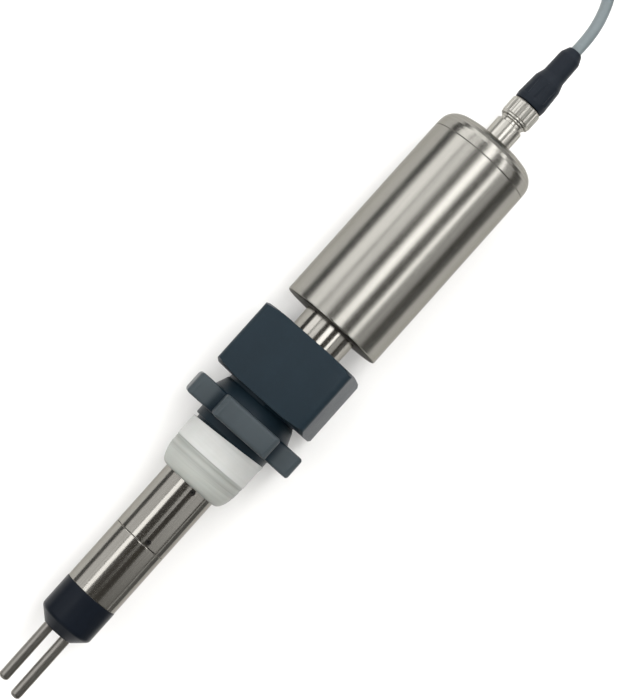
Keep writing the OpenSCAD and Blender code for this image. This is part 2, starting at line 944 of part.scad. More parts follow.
electrode_a();
electrode_b();
electrode_studs();
electrode_seals();
nose_collar();
collar_seal();
front_sleeve();
sleeve_joiner();
rear_tube();
set_screws();
bulkhead();
electrode_leads();
thread_fitting();
thread_tape();
tube_seals();
grip_collet();
thrust_washer();
clamp_nut();
housing_shell();
tube_lock_nut();
end_cap();
cap_seal();
board_bracket();
bracket_screws();
circuit_board();
board_chips();
board_screws();
terminal_block();
signal_wires();
receptacle_shell();
receptacle_insert();
contact_pins();
receptacle_seal();
receptacle_nut();
coupling_ring();
plug_insert();
plug_body();
cable_lead();
cable_coil();
coil_tie();
cable_tail();
tail_plug_body();
tail_plug_insert();
tail_ring();
tail_pins();
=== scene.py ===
import math

import bpy
from mathutils import Matrix, Vector, noise


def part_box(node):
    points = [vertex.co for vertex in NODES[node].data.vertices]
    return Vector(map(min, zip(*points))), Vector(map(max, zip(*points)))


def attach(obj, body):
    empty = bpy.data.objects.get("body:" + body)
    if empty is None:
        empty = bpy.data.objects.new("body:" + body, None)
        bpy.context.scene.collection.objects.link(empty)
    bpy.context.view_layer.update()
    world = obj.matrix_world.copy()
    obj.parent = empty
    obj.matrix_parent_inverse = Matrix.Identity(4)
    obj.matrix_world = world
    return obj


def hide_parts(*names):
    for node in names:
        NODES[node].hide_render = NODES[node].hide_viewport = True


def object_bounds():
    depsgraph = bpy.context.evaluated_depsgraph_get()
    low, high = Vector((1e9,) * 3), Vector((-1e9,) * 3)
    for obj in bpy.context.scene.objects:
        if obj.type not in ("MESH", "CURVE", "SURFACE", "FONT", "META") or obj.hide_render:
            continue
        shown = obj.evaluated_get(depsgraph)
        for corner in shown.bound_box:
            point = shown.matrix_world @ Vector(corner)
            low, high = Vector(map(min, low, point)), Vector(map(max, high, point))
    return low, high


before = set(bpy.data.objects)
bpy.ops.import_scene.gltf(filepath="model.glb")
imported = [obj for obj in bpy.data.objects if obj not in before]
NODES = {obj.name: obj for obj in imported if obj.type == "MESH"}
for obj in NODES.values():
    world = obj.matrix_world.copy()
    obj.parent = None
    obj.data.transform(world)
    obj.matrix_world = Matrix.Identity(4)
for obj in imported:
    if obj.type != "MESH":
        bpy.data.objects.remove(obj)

bl_info = {
    "name": "Corrosion probe",
    "version": (1, 0, 0),
    "blender": (4, 5, 0),
    "location": "View3D > Sidebar > Probe",
    "description": "Models a corrosion probe's tape, threads, strap and lead, and finishes every piece",
    "category": "Object",
}

MM = 0.001
CAD_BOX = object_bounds()
BENCH_Z = CAD_BOX[0].z

# Places along the probe's axis, in millimetres from the shoulder of the pipe thread
TAPE_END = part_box("thread_tape")[0].x / MM
SPIGOT_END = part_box("thread_fitting")[1].x / MM
NUT_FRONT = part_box("clamp_nut")[0].x / MM
SHELL_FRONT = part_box("housing_shell")[0].x / MM

# Distances from the probe's axis, in millimetres: the tube, the tape, and where the lugs start to
# take their lighter colour, painted light against the painted shade of the recess, and have it all over
TUBE_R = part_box("rear_tube")[1].z / MM
TAPE_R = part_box("thread_tape")[1].z / MM
LUG_FOOT_R = 21.5
LUG_FACE_R = 24.5

# The wound tape, in millimetres: its thickness at the lugs, and the place and slant of its edge there
TAPE_THICK = 1.2
TAPE_SHOULDER = -0.3
TAPE_SLANT = 1.25
# Where it starts to close in on the tube, how far it falls, and how far off the tube it ends
TAPE_SWELL = -14.8
TAPE_FALL = 4.2
TAPE_LIFT = 0.25
# The share of the fall at which its outer face ends, short of the upright part
FALL_LIMIT = 0.998
# Place, step and slant of each wrap's edge, and the length over which it steps down
TAPE_WRAPS = ((-11.4, 0.2, 0.3), (-13, 0.07, 0.5), (-16.4, 0.1, 0.8), (-18.4, 0.08, 1.0))
WRAP_EDGE = 0.22
# Past the first edge the tape is thin, and the turns of the thread show through
THIN_FROM = TAPE_WRAPS[0][0]
THIN_BLEND = 0.4
TURN_PITCH = 2.2
TURN_HEIGHT = 0.05
TURN_FADE = 0.8
# Brightness of the thin tape as places and levels, from its end on the tube, 0, to the first edge, 1;
# the dark bands by the wraps' edges are painted shade, and it darkens towards its end on the tube
TAPE_SHADE_BANDS = (
    (0, 0.25), (0.08, 0.9), (0.5, 0.85), (0.6, 0.5), (0.66, 0.25),
    (0.72, 0.6), (0.84, 0.55), (0.9, 0), (0.96, 0.35),
)
# The bead that piles up next to the lugs
BEAD_START = -1.9
BEAD_LENGTH = 1.4
BEAD_HEIGHT = 0.3
# Its folds: height, and how many there are to the millimetre along it and to the radius round it
FOLD_HEIGHT = 0.06
FOLDS_ALONG = 0.35
FOLDS_ROUND = 3
# Its mesh: rows along it, columns round it, the part of the rows that its outer face takes up, and
# how far that face ends short of the tape's end
TAPE_ROWS = 170
TAPE_COLUMNS = 180
FACE_START = 0.006
FACE_SHARE = 0.988
FACE_SHORT = 0.02

# The lead's route in millimetres: out of the plug, down to the bench and into the coil's outer turn
LEAD_ROUTE = [
    (205, 0, 0), (213, 0, 0), (221, 0, 0), (226, 0, 0), (231, 0.2, -0.3), (236, 0.8, -1.2),
    (241, 1.8, -2.8), (246, 3.2, -5), (251, 5.2, -7.8), (256, 8, -11), (261, 11.8, -14.2),
    (266, 16.4, -17.2), (271, 21.2, -19.8), (276, 25.6, -21.8), (281, 29.4, -23.2), (286, 32.4, -24),
    (292, 34.8, -24.4), (298, 36, -24.4), (303, 36.3, -24.4),
]
# Its last stretch, from the coil's top turn up to the far plug that lies on the coil
TAIL_ROUTE = [
    (287.6, 20.6, -13.6), (292, 23.3, -13.4), (297, 25.1, -12.8), (302, 25.9, -11.7),
    (307, 25.6, -10.3), (311.8, 24.3, -8.8), (316.3, 22.1, -7.2), (320.3, 18.9, -5.8),
    (323.9, 14.9, -4.7), (326.5, 10.3, -4), (328, 5.5, -3.8), (329.3, 0.7, -3.8), (330.5, -3.8, -3.8),
]
# The coil in millimetres: its centre, the height of its lowest turns and the step to the next level,
# then the radius of each turn from the first to the last, three turns to a level
COIL_CENTRE = (303, 0)
COIL_LOW = -24.35
COIL_PITCH = 5.3
COIL_RADII = (36.3, 31, 25.7, 25.7, 31, 36.3, 36.3, 31, 25.7)
LEVEL_TURNS = 3
COIL_END_TURN = 9 - 36.8 / 360
# Points to a turn, and half the share of a turn over which it steps to the next
TURN_POINTS = 24
TURN_BLEND = 1 / 12

# The strap, in millimetres: its thickness and its bend round the coil's corners
STRAP_THICK = 1
STRAP_BEND = 2.9
# Its lap over its own start: bend, room round the coil in thicknesses, points and narrower end
LAP_BEND = 3.8
LAP_ROOM = 2.9
LAP_POINTS = 15
LAP_NARROWER = 0.12
STRAP_COLUMNS = 6
STRAP_COLOUR = (0.02, 0.022, 0.026)

# The clamp nut's thread on the fitting, in millimetres: where it starts, radius over its crests
# and depth
NUT_THREAD_START = NUT_FRONT - 1
NUT_THREAD_R = 17.6
NUT_THREAD_DEPTH = 0.65
# The far plug's outside thread: the point it is measured from, its direction about Z, where it
# starts, its turns, radius over its crests and depth
PLUG_POINT = Vector((339.103, -35.938, -3.8))
PLUG_TURN = math.radians(-75)
PLUG_THREAD_START = 0.9
PLUG_THREAD_TURNS = 6
PLUG_THREAD_R = 6
PLUG_THREAD_DEPTH = 0.5
# Steps to a turn of a thread, its groove's half width in pitches, and how far the cutter stands
# out of the bar, in depths
THREAD_STEPS = 64
GROOVE_HALF = 0.42
GROOVE_LIP = 0.3

# Steps to a round corner, and the steepest edge between faces that are shaded as one
CORNER_STEPS = 5
SMOOTH_ANGLE = math.radians(35)

# Long soft lights parallel to the probe, for the housing and then for the tube and electrodes: angle
# about the axis from straight up and width seen from it, in degrees, start and end along X in
# metres, and brightness
STRIPS = (
    (64, 27, 0.07, 3.5, 2.75),
    (35.5, 21, 0.07, 3.5, 2.1),
    (-3, 18, 0.08, 3.5, 4.6),
    (-40, 10, 0.08, 3.5, 4.7),
    (-60, 22, 0.07, 3.5, 0.9),
    (64, 38, -0.9, -0.01, 1.2),
    (34, 17, -0.30, -0.01, 3.3),
    (30, 36, -0.9, -0.32, 1.35),
    (-7, 10, -0.15, -0.01, 1.15),
    (-63, 50, -0.28, -0.167, 0.34),
    (-58, 48, -0.167, -0.01, 0.98),
)
# Their distance from the axis in metres
STRIP_REACH = 1.5

# Low upright cards beside the probe: distance to the side, height of the top edge above the axis,
# grey, and start and end along X, in metres
CARDS = (
    (0.26, 0.06, 0.05, 0, 1.5),
    (-0.2, 0.035, 0.14, 0, 1.5),
    (0.16, 0.02, 0.16, -1.5, 0),
    (-0.069, 0.004, 0.2, -1.5, -0.02),
)

# The floor's size and the dome's radius in metres, and how far out the floor starts to glow and
# glows in full, so that it meets the dome without an edge
FLOOR_SIZE = 12
DOME_R = 5.8
DOME_COLOUR = (0.88, 0.875, 0.865, 1)
GLOW_START = 1.2
GLOW_FULL = 4.5


class StageSettings(bpy.types.PropertyGroup):
    distance: bpy.props.FloatProperty(
        name="Camera distance", description="From the camera to the middle of the view",
        default=0.9, min=0.3, unit="LENGTH",
    )
    lean_back: bpy.props.FloatProperty(
        name="Lean to the electrodes",
        description="How far the camera stands off the vertical, towards the electrodes",
        default=math.radians(2.5), subtype="ANGLE",
    )
    lean_side: bpy.props.FloatProperty(
        name="Lean aside", description="How far the camera stands off the vertical, across the probe",
        default=math.radians(4), subtype="ANGLE",
    )
    roll: bpy.props.FloatProperty(
        name="Rise of the probe", description="Angle of the probe's axis above the picture's lower edge",
        default=math.radians(48.204), subtype="ANGLE",
    )
    view_height: bpy.props.FloatProperty(
        name="Height of the view", description="Height of the picture, measured at the probe",
        default=0.2954, unit="LENGTH",
    )
    target: bpy.props.FloatVectorProperty(
        name="Middle of the view",
        description="The point on the probe that stands in the middle of the picture",
        default=(0.0507, 0.0003, 0), subtype="TRANSLATION", unit="LENGTH",
    )
    floor_colour: bpy.props.FloatVectorProperty(
        name="Floor", description="Colour of the floor",
        default=(0.84, 0.835, 0.825), subtype="COLOR",
    )


class MetalSettings(bpy.types.PropertyGroup):
    housing: bpy.props.FloatVectorProperty(
        name="Housing", description="Colour of the housing's steel",
        default=(0.27, 0.263, 0.242), subtype="COLOR",
    )
    tube: bpy.props.FloatVectorProperty(
        name="Tube", description="Colour of the polished tube",
        default=(0.29, 0.28, 0.258), subtype="COLOR",
    )
    electrode: bpy.props.FloatVectorProperty(
        name="Electrodes", description="Colour of the bare electrodes",
        default=(0.25, 0.24, 0.222), subtype="COLOR",
    )
    nickel: bpy.props.FloatVectorProperty(
        name="Nickel", description="Colour of the plated connector rings",
        default=(0.38, 0.37, 0.34), subtype="COLOR",
    )


class PlasticSettings(bpy.types.PropertyGroup):
    fitting: bpy.props.FloatVectorProperty(
        name="Fitting", description="Colour of the fitting",
        default=(0.006, 0.013, 0.019), subtype="COLOR",
    )
    # The lugs' lighter colour is painted light; the fitting's darker one is painted shade in its recess
    lugs: bpy.props.FloatVectorProperty(
        name="Lugs", description="Colour of the fitting's rubbed lugs",
        default=(0.040, 0.050, 0.056), subtype="COLOR",
    )
    nut: bpy.props.FloatVectorProperty(
        name="Clamp nut", description="Colour of the clamp nut",
        default=(0.0072, 0.0155, 0.0225), subtype="COLOR",
    )
    collar: bpy.props.FloatVectorProperty(
        name="Nose collar", description="Colour of the nose collar",
        default=(0.004, 0.006, 0.010), subtype="COLOR",
    )
    boot: bpy.props.FloatVectorProperty(
        name="Plug", description="Colour of the plugs' moulded bodies",
        default=(0.005, 0.008, 0.013), subtype="COLOR",
    )
    jacket: bpy.props.FloatVectorProperty(
        name="Lead", description="Colour of the lead's jacket",
        default=(0.118, 0.143, 0.151), subtype="COLOR",
    )
    tape: bpy.props.FloatVectorProperty(
        name="Tape", description="Colour of the sealing tape where it is thick",
        default=(0.425, 0.43, 0.417), subtype="COLOR",
    )


class SizeSettings(bpy.types.PropertyGroup):
    lead_diameter: bpy.props.FloatProperty(
        name="Lead's diameter", description="Diameter of the lead",
        default=0.0052, min=0.003, unit="LENGTH",
    )
    nut_pitch: bpy.props.FloatProperty(
        name="Nut's thread pitch",
        description="Distance between the turns of the thread under the clamp nut",
        default=0.002, min=0.001, unit="LENGTH",
    )
    plug_pitch: bpy.props.FloatProperty(
        name="Plug's thread pitch", description="Distance between the turns of the far plug's thread",
        default=0.001, min=0.0005, unit="LENGTH",
    )


class Wire:
    """One value in a finish. Arithmetic on it adds Math nodes."""

    def __init__(self, finish, socket):
        self.finish = finish
        self.socket = socket

    def math(self, operation, first, second):
        return self.finish.node("ShaderNodeMath", {"operation": operation}, [first, second])

    def __add__(self, other):
        return self.math("ADD", self, other)

    def __sub__(self, other):
        return self.math("SUBTRACT", self, other)

    def __rsub__(self, other):
        return self.math("SUBTRACT", other, self)

    def __mul__(self, other):
        return self.math("MULTIPLY", self, other)

    __radd__ = __add__
    __rmul__ = __mul__


class Finish:
    """A procedural material in the making: a Principled shader and the nodes that feed it."""

    def __init__(self, name, **constants):
        self.material = bpy.data.materials.new(name)
        self.material.use_nodes = True
        self.tree = self.material.node_tree
        self.shader = self.tree.nodes["Principled BSDF"]
        for socket, value in constants.items():
            self.shader.inputs[socket.replace("_", " ")].default_value = value

    def node(self, kind, settings, inputs, output=0):
        """Adds a node, sets it up, feeds its inputs and returns one of its outputs."""
        made = self.tree.nodes.new(kind)
        for key, value in settings.items():
            if key == "stops":
                ramp = made.color_ramp.elements
                while len(ramp) < len(value):
                    ramp.new(1)
                for stop, (place, level) in zip(ramp, value):
                    stop.position = place
                    stop.color = (level, level, level, 1)
            else:
                setattr(made, key, value)
        pairs = inputs.items() if isinstance(inputs, dict) else enumerate(inputs)
        for key, value in pairs:
            self.feed(made.inputs[key], value)
        return Wire(self, made.outputs[output])

    def feed(self, socket, value):
        if isinstance(value, Wire):
            self.tree.links.new(value.socket, socket)
        elif socket.type == "RGBA" and len(value) == 3:
            socket.default_value = (*value, 1)
        else:
            socket.default_value = value

    def spot(self):
        """The point on the piece, in metres."""
        return self.node("ShaderNodeTexCoord", {}, [], "Object")

    def along(self):
        """Distance along the probe's axis, in metres."""
        return self.node("ShaderNodeSeparateXYZ", {}, [self.spot()], "X")

    def from_axis(self):
        """Distance from the probe's axis, in metres."""
        across = self.node("ShaderNodeVectorMath", {"operation": "MULTIPLY"}, [self.spot(), (0, 1, 1)])
        return self.length(across)

    def length(self, vector):
        return self.node("ShaderNodeVectorMath", {"operation": "LENGTH"}, [vector], "Value")

    def noise(self, scale, detail, stretch=(1, 1, 1), rough=0.5):
        """Smooth noise from 0 to 1, with scale lumps to the metre times stretch along each axis."""
        place = self.node("ShaderNodeMapping", {}, {"Vector": self.spot(), "Scale": stretch})
        return self.node(
            "ShaderNodeTexNoise", {},
            {"Vector": place, "Scale": scale, "Detail": detail, "Roughness": rough},
        )

    def ramp(self, value, *stops):
        """Levels of grey, given as places and levels, that the value picks from."""
        return self.node("ShaderNodeValToRGB", {"stops": stops}, [value])

    def rise(self, value, start, end, curve="SMOOTHSTEP"):
        """0 where the value is at start, 1 where it is at end."""
        return self.node(
            "ShaderNodeMapRange", {"interpolation_type": curve},
            {"Value": value, "From Min": start, "From Max": end},
        )

    def mix(self, factor, first, second):
        """A blend of two colours."""
        return self.node(
            "ShaderNodeMix", {"data_type": "RGBA"}, {0: factor, 6: first, 7: second}, 2,
        )

    def colour(self, value):
        self.feed(self.shader.inputs["Base Color"], value)

    def roughness(self, value):
        self.feed(self.shader.inputs["Roughness"], value)

    def bump(self, height, depth):
        """Raises the surface by height times depth, in metres."""
        normal = self.node(
            "ShaderNodeBump", {}, {"Strength": 1.0, "Distance": depth, "Height": height}, "Normal",
        )
        self.feed(self.shader.inputs["Normal"], normal)


def shade(colour, factor):
    return tuple(channel * factor for channel in colour)


def drawn_steel(name, colour, rough, haze=0.05, lines=0.5, turned=0.3, shaded_face=None):
    """Steel polished lengthwise: fine lines along the axis, faint turning marks and a soft haze.

    The last argument is the place along the axis of a face given painted shade: darker and rougher.
    """
    finish = Finish(name, Metallic=1.0, Specular_Tint=(0.62, 0.61, 0.58, 1))
    streaks = finish.noise(2600, 3, stretch=(0.012, 1, 1), rough=0.6)
    marks = finish.noise(3200, 2, stretch=(1, 0.02, 0.02))
    cloud = finish.noise(55, 3, stretch=(0.5, 1, 1))
    tone = finish.ramp(streaks * 0.6 + cloud * 0.4, (0.3, 0), (0.7, 1))
    base = finish.mix(tone, shade(colour, 0.86), shade(colour, 1.06))
    dull = rough + (cloud - 0.5) * haze * 2 + (streaks - 0.5) * haze
    if shaded_face is not None:
        # Painted shade: a darker colour on the face at that place, where it lies in shadow
        face_shade = finish.rise(finish.along(), shaded_face + 0.6 * MM, shaded_face + 0.2 * MM, "LINEAR")
        base = finish.mix(face_shade, base, finish.mix(marks, shade(colour, 0.25), shade(colour, 0.5)))
        dull = dull + face_shade * 0.2
    finish.colour(base)
    finish.roughness(dull)
    finish.bump(streaks * lines + marks * turned + cloud * 2, 0.000012)
    return finish.material


def moulded(name, colour, rough, grain=0.00002, sheen=0.5, lit_outer_colour=None):
    """Moulded plastic or rubber with an eroded texture, faint flow marks and rubbed patches.

    The last argument is a lighter colour, painted light, for what stands out further than the body.
    """
    finish = Finish(name, Specular_IOR_Level=sheen)
    texture = finish.noise(4200, 3, rough=0.6)
    flow = finish.noise(90, 4, stretch=(0.6, 1, 1))
    rubbed = finish.ramp(finish.noise(420, 5, rough=0.7), (0.52, 0), (0.75, 1))
    base = finish.mix(flow * 0.7 + rubbed * 0.25, shade(colour, 0.82), shade(colour, 1.3))
    if lit_outer_colour:
        # Painted light and shade: lighter further from the axis, on the lugs, and darker nearer it
        outside = finish.rise(finish.from_axis(), LUG_FOOT_R * MM, LUG_FACE_R * MM)
        base = finish.mix(outside, base, finish.mix(flow, shade(lit_outer_colour, 0.85), shade(lit_outer_colour, 1.15)))
    finish.colour(base)
    finish.roughness(rough + (flow - 0.5) * 0.12 - rubbed * 0.05 + (texture - 0.5) * 0.1)
    finish.bump(texture + flow * 3, grain)
    return finish.material


def sealing_tape(colour):
    """White tape: dense over the full turns, greyer and thinner where the thread shows through."""
    finish = Finish(
        "sealing_tape", Specular_IOR_Level=0.4, Subsurface_Weight=0.05, Subsurface_Scale=1 * MM,
    )
    x = finish.along()
    thin = finish.rise(x, (THIN_FROM + THIN_BLEND) * MM, (THIN_FROM - THIN_BLEND) * MM)
    # Painted shade: dark bands by the wraps' edges, where the steps lie in shadow
    bands = finish.ramp(finish.rise(x, TAPE_END * MM, THIN_FROM * MM, "LINEAR"), *TAPE_SHADE_BANDS)
    turns = finish.noise(900, 3, stretch=(1, 0.03, 0.03))
    fibres = finish.noise(2600, 3, stretch=(0.08, 1, 1))
    cloud = finish.noise(160, 3)
    grey = finish.mix(bands * 0.8 + turns * 0.3 - 0.05, (0.195, 0.205, 0.19), (0.35, 0.36, 0.335))
    white = finish.mix(cloud * 0.6 + turns * 0.4, shade(colour, 0.88), shade(colour, 1.12))
    finish.colour(finish.mix(thin, white, grey))
    finish.roughness(0.42 + cloud * 0.2)
    finish.bump(turns * 2 + fibres + cloud, 0.00003)
    return finish.material


def webbing(colour):
    """Hook-and-loop strap: a fine woven face with a fuzzy nap."""
    finish = Finish("strap_weave", Sheen_Weight=0.4, Roughness=0.9)
    across = finish.node(
        "ShaderNodeTexWave", {"bands_direction": "X"},
        {"Vector": finish.spot(), "Scale": 260, "Distortion": 1.5, "Detail": 1.0},
    )
    nap = finish.noise(2400, 4, rough=0.7)
    finish.colour(finish.mix(nap * 0.6 + across * 0.4, shade(colour, 0.5), shade(colour, 1.7)))
    finish.bump(across + nap, 0.00015)
    return finish.material


def plain(name, colour, rough, metal=0.0):
    """Finish of an inner piece: its colour with a little unevenness."""
    finish = Finish(name, Metallic=metal)
    cloud = finish.noise(300, 3)
    finish.colour(finish.mix(cloud, shade(colour, 0.85), shade(colour, 1.12)))
    finish.roughness(rough + (cloud - 0.5) * 0.1)
    finish.bump(cloud, 0.00001)
    return finish.material


def board_finish():
    """Solder mask with copper tracks showing under it."""
    finish = Finish("board_mask", Roughness=0.35)
    tracks = finish.node(
        "ShaderNodeTexBrick", {"offset": 0.5},
        {
            "Vector": finish.spot(), "Scale": 160, "Mortar Size": 0.05,
            "Color1": (0, 0, 0), "Color2": (0, 0, 0), "Mortar": (1, 1, 1),
        },
    )
    finish.colour(finish.mix(tracks, (0.006, 0.045, 0.02), (0.02, 0.12, 0.05)))
    finish.bump(tracks, 0.00003)
    return finish.material


def select_only(piece):
    bpy.ops.object.select_all(action="DESELECT")
    piece.hide_set(False)
    piece.select_set(True)
    bpy.context.view_layer.objects.active = piece


def edit(piece):
    """Opens a piece in edit mode with all of it selected."""
    select_only(piece)
    bpy.ops.object.mode_set(mode="EDIT")
    bpy.ops.mesh.select_all(action="SELECT")


def leave_edit():
    bpy.ops.object.mode_set(mode="OBJECT")


def select_open_edges():
    bpy.ops.mesh.select_all(action="DESELECT")
    bpy.ops.mesh.select_non_manifold(extend=False)


def point_outwards():
    """Turns all the faces of the piece in edit mode outwards."""
    bpy.ops.mesh.select_all(action="SELECT")
    bpy.ops.mesh.normals_make_consistent(inside=False)


def add_modifier(piece, kind, **settings):
    """Adds a modifier, sets it up and applies it."""
    select_only(piece)
    modifier = piece.modifiers.new(kind.title(), kind)
    for key, value in settings.items():
        setattr(modifier, key, value)
    bpy.ops.object.modifier_apply(modifier=modifier.name)


def round_edges(piece, width, segments, angle):
    """Rounds the edges of a piece that are sharper than angle, in degrees."""
    add_modifier(
        piece, "BEVEL", width=width, segments=segments,
        limit_method="ANGLE", angle_limit=math.radians(angle),
    )


def settle(piece, name, finish, body, replaced):
    """Names a finished piece, bakes its place into its mesh and hangs it on its body."""
    piece.name = name
    piece.data.name = name
    select_only(piece)
    bpy.ops.object.transform_apply(location=True, rotation=True, scale=True)
    bpy.ops.object.shade_smooth_by_angle(angle=SMOOTH_ANGLE)
    piece.data.materials.clear()
    piece.data.materials.append(finish)
    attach(piece, body)
    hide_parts(replaced)


def dress(finishes):
    """Gives each CAD node its finish."""
    for node, finish in finishes.items():
        for place in NODES[node].material_slots:
            place.material = finish


def copy_of(node):
    """A merged copy of a CAD node, with the flat faces joined up again."""
    piece = NODES[node].copy()
    piece.data = NODES[node].data.copy()
    piece.parent = None
    for key in list(piece.keys()):
        if key.startswith("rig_"):
            del piece[key]
    bpy.context.scene.collection.objects.link(piece)
    edit(piece)
    bpy.ops.mesh.customdata_custom_splitnormals_clear()
    bpy.ops.mesh.remove_doubles(threshold=0.000001)
    bpy.ops.mesh.dissolve_limited(angle_limit=math.radians(0.5))
    leave_edit()
    return piece


def smooth_step(value):
    """0 below 0, 1 above 1 and an even slope between them."""
    value = min(max(value, 0), 1)
    return value * value * (3 - 2 * value)


def rolled_sheet(rows, columns, place):
    """A flat grid whose points are then laid where place(row, share of the width) says."""
    bpy.ops.object.select_all(action="DESELECT")
    bpy.ops.mesh.primitive_grid_add(x_subdivisions=rows, y_subdivisions=columns, size=1)
    sheet = bpy.context.object
    for vertex in sheet.data.vertices:
        row = round((vertex.co.x + 0.5) * rows)
        vertex.co = place(row, vertex.co.y + 0.5)
    return sheet


def rounded_loop(wide, deep, radius):
    """Points round a rectangle with round corners, from the middle of its top."""
    points = [(0, deep / 2)]
    for corner, (side, up) in enumerate(((1, 1), (1, -1), (-1, -1), (-1, 1))):
        for i in range(CORNER_STEPS + 1):
            angle = math.pi / 2 * (1 - corner - i / CORNER_STEPS)
            points.append((
                side * (wide / 2 - radius) + radius * math.cos(angle),
                up * (deep / 2 - radius) + radius * math.sin(angle),
            ))
    return points


def groove_cutter(start, turns, pitch, crest, depth):
    """A helical V-section about the X axis that cuts a thread when it is taken away from a bar."""
    bpy.ops.object.select_all(action="DESELECT")
    bpy.ops.mesh.primitive_circle_add(vertices=3, radius=1, fill_type="NOTHING")
    cutter = bpy.context.object
    lip = GROOVE_LIP * depth
    half = GROOVE_HALF * pitch
    corners = [(start - half, crest + lip), (start + half, crest + lip), (start, crest - depth)]
    for vertex, (x, r) in zip(cutter.data.vertices, corners):
        vertex.co = (x, 0, r)
    add_modifier(
        cutter, "SCREW", axis="X", screw_offset=pitch, iterations=turns,
        steps=THREAD_STEPS, render_steps=THREAD_STEPS, use_smooth_shade=False,
    )
    edit(cutter)
    bpy.ops.mesh.remove_doubles(threshold=0.0000001)
    select_open_edges()
    bpy.ops.mesh.fill_holes(sides=4)
    point_outwards()
    leave_edit()
    return cutter


def cut_away(piece, cutter):
    """Takes the cutter's space out of a piece and deletes the cutter."""
    add_modifier(piece, "BOOLEAN", operation="DIFFERENCE", object=cutter, solver="EXACT")
    bpy.data.objects.remove(cutter)


class PROBE_OT_lead(bpy.types.Operator):
    """Lays the lead: out of the plug, into its coil and up to the far plug"""

    bl_idname = "probe.lead"
    bl_label = "Lead"

    def execute(self, context):
        sizes, plastic = context.scene.probe_sizes, context.scene.probe_plastic
        points = [Vector(p) for p in LEAD_ROUTE] + self.coil() + [Vector(p) for p in TAIL_ROUTE]
        bpy.ops.object.select_all(action="DESELECT")
        bpy.ops.curve.primitive_bezier_curve_add()
        lead = context.object
        lead.name = "lead"
        spline = lead.data.splines[0]
        spline.bezier_points.add(len(points) - len(spline.bezier_points))
        for knot, point in zip(spline.bezier_points, points):
            knot.co = point * MM
            knot.handle_left_type = "AUTO"
            knot.handle_right_type = "AUTO"
        lead.data.resolution_u = 4
        lead.data.bevel_depth = sizes.lead_diameter / 2
        lead.data.bevel_resolution = 5
        lead.data.use_fill_caps = True
        lead.data.materials.append(moulded("jacket", plastic.jacket, 0.42, grain=0.000012))
        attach(lead, "probe")
        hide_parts("cable_lead", "cable_coil", "cable_tail")
        return {"FINISHED"}

    def coil(self):
        """Points of the coil. Each turn keeps its radius and height, then steps to the next one's."""
        last = len(COIL_RADII) - 1
        points = []
        for i in range(1, int(COIL_END_TURN * TURN_POINTS)):
            turn = i / TURN_POINTS
            near = round(turn)
            before = min(max(near - 1, 0), last)
            after = min(near, last)
            share = smooth_step((turn - near + TURN_BLEND) / (2 * TURN_BLEND))
            radius = COIL_RADII[before] + (COIL_RADII[after] - COIL_RADII[before]) * share
            lower, upper = before // LEVEL_TURNS, after // LEVEL_TURNS
            level = lower + (upper - lower) * share
            angle = math.tau * turn
            points.append(Vector((
                COIL_CENTRE[0] + radius * math.sin(angle),
                COIL_CENTRE[1] + radius * math.cos(angle),
                COIL_LOW + COIL_PITCH * level,
            )))
        return points


class PROBE_OT_tape(bpy.types.Operator):
    """Winds the sealing tape on the pipe thread, wrap over wrap"""

    bl_idname = "probe.tape"
    bl_label = "Sealing tape"

    def execute(self, context):
        tape = rolled_sheet(
            TAPE_ROWS, TAPE_COLUMNS, lambda row, turn: self.point(row / TAPE_ROWS, turn * math.tau),
        )
        edit(tape)
        bpy.ops.mesh.remove_doubles(threshold=0.0000005)
        select_open_edges()
        bpy.ops.mesh.bridge_edge_loops()
        point_outwards()
        leave_edit()
        finish = sealing_tape(context.scene.probe_plastic.tape)
        settle(tape, "wound_tape", finish, "fitting", "thread_tape")
        return {"FINISHED"}

    def point(self, share, turn):
        """A point of the tape. Share runs from its inner edge at the lugs, 0, to that on the tube, 1."""
        lean = math.cos(turn)
        edge = TAPE_SHOULDER - TAPE_SLANT * lean
        if share == 0:
            x, radius = edge, TAPE_R - TAPE_THICK
        elif share == 1:
            x, radius = TAPE_END, TUBE_R + TAPE_LIFT
        else:
            x = edge + (TAPE_END - FACE_SHORT - edge) * (share - FACE_START) / FACE_SHARE
            radius = self.radius(x, lean, turn)
        return Vector((x, radius * math.cos(turn), radius * math.sin(turn))) * MM

    def radius(self, x, lean, turn):
        """Distance of the tape's outer face from the axis, in millimetres."""
        fall = min(max((TAPE_SWELL - x) / (TAPE_SWELL - TAPE_END), 0), FALL_LIMIT)
        radius = TAPE_R - TAPE_FALL * (1 - math.sqrt(1 - fall * fall))
        for place, step, slant in TAPE_WRAPS:
            radius -= step * smooth_step((place - slant * lean - x) / WRAP_EDGE)
        ridge = math.cos(math.tau * (x / TURN_PITCH - turn / math.tau))
        radius += TURN_HEIGHT * ridge * smooth_step((THIN_FROM - x) / TURN_FADE) * (1 - fall)
        radius += BEAD_HEIGHT * smooth_step((x - BEAD_START) / BEAD_LENGTH)
        fold = Vector((x * FOLDS_ALONG, math.cos(turn) * FOLDS_ROUND, math.sin(turn) * FOLDS_ROUND))
        radius += FOLD_HEIGHT * noise.noise(fold)
        return radius


